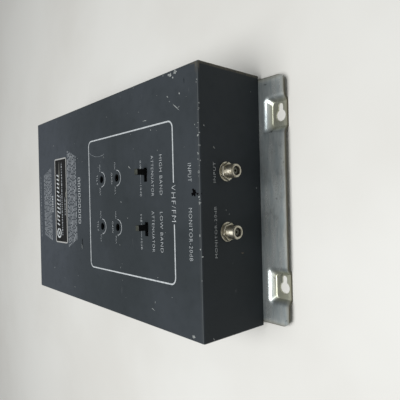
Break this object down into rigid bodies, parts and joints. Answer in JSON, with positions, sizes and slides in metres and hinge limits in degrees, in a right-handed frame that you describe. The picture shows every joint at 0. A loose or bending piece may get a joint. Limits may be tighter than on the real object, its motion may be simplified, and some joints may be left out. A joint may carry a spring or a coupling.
{
  "type": "antenna distribution amplifier",
  "caption": "Painted steel wall box that amplifies and levels antenna signals, with coaxial ports, slide attenuators, screwdriver trimmers and a stamped keyhole back plate.",
  "frame": {"origin": "on the wall plane, under the middle of the case", "axes": "+X across the case towards the input port's side, -Y towards the input end, +Z out of the control panel"},
  "size_m": [0.184, 0.325, 0.0731],
  "materials": {
    "case_paint": "satin",
    "galvanised": "satin",
    "label_metal": "satin",
    "port_plating": "polished",
    "insulator_plastic": "matte",
    "contact_metal": "satin",
    "switch_housing": "satin",
    "lever_plastic": "satin",
    "trimmer_plastic": "matte",
    "rotor_plastic": "matte",
    "board_laminate": "satin",
    "screw_zinc": "satin",
    "tinned_steel": "satin",
    "component_black": "matte",
    "copper_wire": "satin",
    "core_iron": "matte",
    "fuse_glass": "clear",
    "bushing_nylon": "matte",
    "capacitor_sleeve": "satin",
    "lead_insulation": "satin",
    "panel_ink": "matte"
  },
  "bodies": {
    "root": {"amplifier_transistors": "tinned_steel", "band_shield": "tinned_steel", "board_capacitors": "capacitor_sleeve", "board_posts": "screw_zinc", "board_resistors": "component_black", "board_screws": "screw_zinc", "case_screws": "screw_zinc", "cord_bushing": "bushing_nylon", "filter_capacitors": "capacitor_sleeve", "fuse": "fuse_glass", "fuse_clips": "contact_metal", "high_attenuator_switch": "switch_housing", "high_gain_trimmer": "trimmer_plastic", "high_tilt_trimmer": "trimmer_plastic", "housing": "case_paint", "input_port_contact": "contact_metal", "input_port_insulator": "insulator_plastic", "input_port_nut": "port_plating", "input_port_shell": "port_plating", "input_port_washer": "port_plating", "low_attenuator_switch": "switch_housing", "low_gain_trimmer": "trimmer_plastic", "low_tilt_trimmer": "trimmer_plastic", "main_board": "board_laminate", "monitor_port_contact": "contact_metal", "monitor_port_insulator": "insulator_plastic", "monitor_port_nut": "port_plating", "monitor_port_shell": "port_plating", "monitor_port_washer": "port_plating", "mounting_plate": "galvanised", "name_label": "label_metal", "output_port_contact": "contact_metal", "output_port_insulator": "insulator_plastic", "output_port_nut": "port_plating", "output_port_shell": "port_plating", "output_port_washer": "port_plating", "post_screws": "screw_zinc", "power_leads": "lead_insulation", "rectifier_diodes": "component_black", "regulator_heat_sink": "label_metal", "strap_screws": "screw_zinc", "supply_board": "board_laminate", "supply_posts": "screw_zinc", "supply_screws": "screw_zinc", "transformer_core": "core_iron", "transformer_leads": "lead_insulation", "transformer_strap": "tinned_steel", "transformer_winding": "copper_wire", "transistor_heat_sinks": "component_black", "tuning_coils": "copper_wire", "voltage_regulator": "component_black"},
    "high_lever": {"high_attenuator_lever": "lever_plastic"},
    "low_lever": {"low_attenuator_lever": "lever_plastic"},
    "high_gain": {"high_gain_rotor": "rotor_plastic"},
    "high_tilt": {"high_tilt_rotor": "rotor_plastic"},
    "low_gain": {"low_gain_rotor": "rotor_plastic"},
    "low_tilt": {"low_tilt_rotor": "rotor_plastic"}
  },
  "joints": [
    {"name": "high_attenuator_slide", "type": "slide", "parent": "root", "child": "high_lever", "axis": [1, 0, 0], "range_m": [-0.004, 0]},
    {"name": "low_attenuator_slide", "type": "slide", "parent": "root", "child": "low_lever", "axis": [1, 0, 0], "range_m": [-0.0032, 0.0008]},
    {"name": "high_gain_turn", "type": "hinge", "parent": "root", "child": "high_gain", "pos_m": [0.0215, -0.0354, 0.0588], "axis": [0, 0, 1], "range_deg": [-135, 135]},
    {"name": "high_tilt_turn", "type": "hinge", "parent": "root", "child": "high_tilt", "pos_m": [0.0215, -0.0094, 0.0588], "axis": [0, 0, 1], "range_deg": [-135, 135]},
    {"name": "low_gain_turn", "type": "hinge", "parent": "root", "child": "low_gain", "pos_m": [-0.0195, -0.0354, 0.0588], "axis": [0, 0, 1], "range_deg": [-135, 135]},
    {"name": "low_tilt_turn", "type": "hinge", "parent": "root", "child": "low_tilt", "pos_m": [-0.0195, -0.0094, 0.0588], "axis": [0, 0, 1], "range_deg": [-135, 135]}
  ]
}
